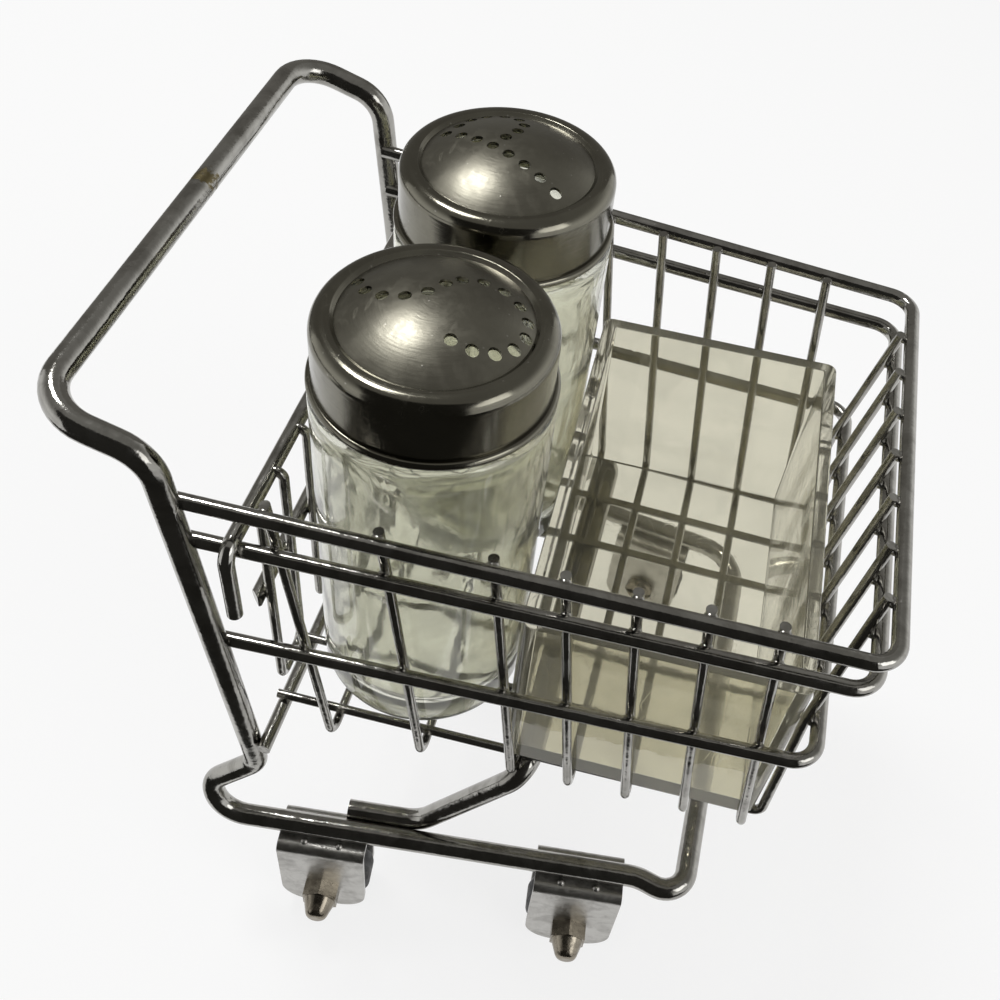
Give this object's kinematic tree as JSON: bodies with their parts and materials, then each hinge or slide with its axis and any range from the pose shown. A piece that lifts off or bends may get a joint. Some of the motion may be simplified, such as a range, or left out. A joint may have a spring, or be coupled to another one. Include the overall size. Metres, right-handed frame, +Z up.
{
  "type": "condiment caddy",
  "caption": "Wire shopping-cart condiment caddy on wheels with lift-out glass shakers, pierced dome caps, a swinging rear gate and a clear packet holder.",
  "frame": {"origin": "on the table, under the middle of the overall box", "axes": "+X from the handle to the front of the basket, +Y to the far side, +Z up"},
  "size_m": [0.1474, 0.146, 0.1663],
  "materials": {
    "wire_chrome": "polished chrome plate",
    "bracket_plate": "plated sheet steel",
    "fastener_steel": "plated",
    "wheel_rubber": "matte",
    "shaker_glass": "clear",
    "cap_steel": "satin stainless",
    "clear_acrylic": "clear"
  },
  "bodies": {
    "cart": {"frame_wire": "wire_chrome", "support_wire": "wire_chrome", "rim_top": "wire_chrome", "rim_middle": "wire_chrome", "rim_lower": "wire_chrome", "rear_floor_bar": "wire_chrome", "cross_wire_1": "wire_chrome", "cross_wire_2": "wire_chrome", "cross_wire_3": "wire_chrome", "cross_wire_4": "wire_chrome", "cross_wire_5": "wire_chrome", "cross_wire_6": "wire_chrome", "cross_wire_7": "wire_chrome", "front_wire_1": "wire_chrome", "front_wire_2": "wire_chrome", "front_wire_3": "wire_chrome", "front_wire_4": "wire_chrome", "front_wire_5": "wire_chrome", "front_wire_6": "wire_chrome", "front_wire_7": "wire_chrome", "bracket_rear_near": "bracket_plate", "bracket_rear_far": "bracket_plate", "bracket_front_near": "bracket_plate", "bracket_front_far": "bracket_plate", "axle_bolts": "fastener_steel", "acorn_nuts": "fastener_steel"},
    "gate": {"gate_hinge_bar": "wire_chrome", "gate_middle_bar": "wire_chrome", "gate_hairpin_1": "wire_chrome", "gate_hairpin_2": "wire_chrome", "gate_hairpin_3": "wire_chrome", "gate_hairpin_4": "wire_chrome", "gate_hairpin_5": "wire_chrome"},
    "wheel_rear_near": {"wheel_rear_near": "wheel_rubber"},
    "wheel_rear_far": {"wheel_rear_far": "wheel_rubber"},
    "wheel_front_near": {"wheel_front_near": "wheel_rubber"},
    "wheel_front_far": {"wheel_front_far": "wheel_rubber"},
    "jar_salt": {"shaker_jar_salt": "shaker_glass"},
    "cap_salt": {"shaker_cap_salt": "cap_steel"},
    "jar_pepper": {"shaker_jar_pepper": "shaker_glass"},
    "cap_pepper": {"shaker_cap_pepper": "cap_steel"},
    "packet_holder": {"packet_holder": "clear_acrylic"}
  },
  "joints": [
    {"name": "gate_swing", "type": "hinge", "parent": "cart", "child": "gate", "pos_m": [-0.0409, 0, 0.12962], "axis": [0, 1, 0], "range_deg": [0, 13.5]},
    {"name": "wheel_rear_near_spin", "type": "hinge", "parent": "cart", "child": "wheel_rear_near", "pos_m": [-0.0274, -0.05924, 0.0108], "axis": [-0.1237, 0.9923, 0], "continuous": true},
    {"name": "wheel_rear_far_spin", "type": "hinge", "parent": "cart", "child": "wheel_rear_far", "pos_m": [-0.0274, 0.05924, 0.0108], "axis": [0.1237, 0.9923, 0], "continuous": true},
    {"name": "wheel_front_near_spin", "type": "hinge", "parent": "cart", "child": "wheel_front_near", "pos_m": [0.0322, -0.05181, 0.0108], "axis": [-0.1237, 0.9923, 0], "continuous": true},
    {"name": "wheel_front_far_spin", "type": "hinge", "parent": "cart", "child": "wheel_front_far", "pos_m": [0.0322, 0.05181, 0.0108], "axis": [0.1237, 0.9923, 0], "continuous": true},
    {"name": "jar_salt_lift", "type": "slide", "parent": "cart", "child": "jar_salt", "axis": [0, 0, 1], "range_m": [0, 0.09]},
    {"name": "cap_salt_unscrew", "type": "slide", "parent": "jar_salt", "child": "cap_salt", "axis": [0, 0, 1], "range_m": [0, 0.02]},
    {"name": "jar_pepper_lift", "type": "slide", "parent": "cart", "child": "jar_pepper", "axis": [0, 0, 1], "range_m": [0, 0.09]},
    {"name": "cap_pepper_unscrew", "type": "slide", "parent": "jar_pepper", "child": "cap_pepper", "axis": [0, 0, 1], "range_m": [0, 0.02]},
    {"name": "packet_holder_lift", "type": "slide", "parent": "cart", "child": "packet_holder", "axis": [0, 0, 1], "range_m": [0, 0.085]}
  ]
}
